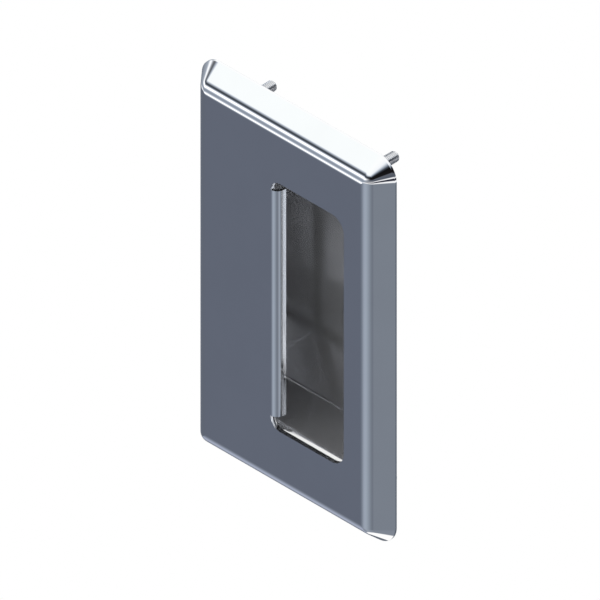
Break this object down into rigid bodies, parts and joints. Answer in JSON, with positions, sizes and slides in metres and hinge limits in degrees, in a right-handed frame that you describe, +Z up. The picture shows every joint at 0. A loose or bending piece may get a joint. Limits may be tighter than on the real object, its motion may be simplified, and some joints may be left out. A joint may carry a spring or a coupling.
{
  "type": "recessed pull handle",
  "caption": "Recessed pull handle: a pressed steel plate with sloping edges and an off-centre opening into a finger pocket behind it, held by threaded studs at the back.",
  "frame": {"origin": "centre of the plane of the plate's rear rim, which lies flat on the panel", "axes": "+Y points back out of the rim into the panel, +Z is up, and +X is to the right for a user who faces the handle from -Y"},
  "size_m": [0.09, 0.0274, 0.155],
  "materials": {
    "polished_plate": "mirror polished stainless steel",
    "satin_pan": "pressed stainless steel, bright inside and plain outside",
    "stud_steel": "bright rolled thread"
  },
  "bodies": {
    "root": {"front_plate": "polished_plate", "rear_pan": "satin_pan", "stud_top_left": "stud_steel", "stud_top_right": "stud_steel", "stud_bottom_left": "stud_steel", "stud_bottom_right": "stud_steel"}
  },
  "joints": []
}
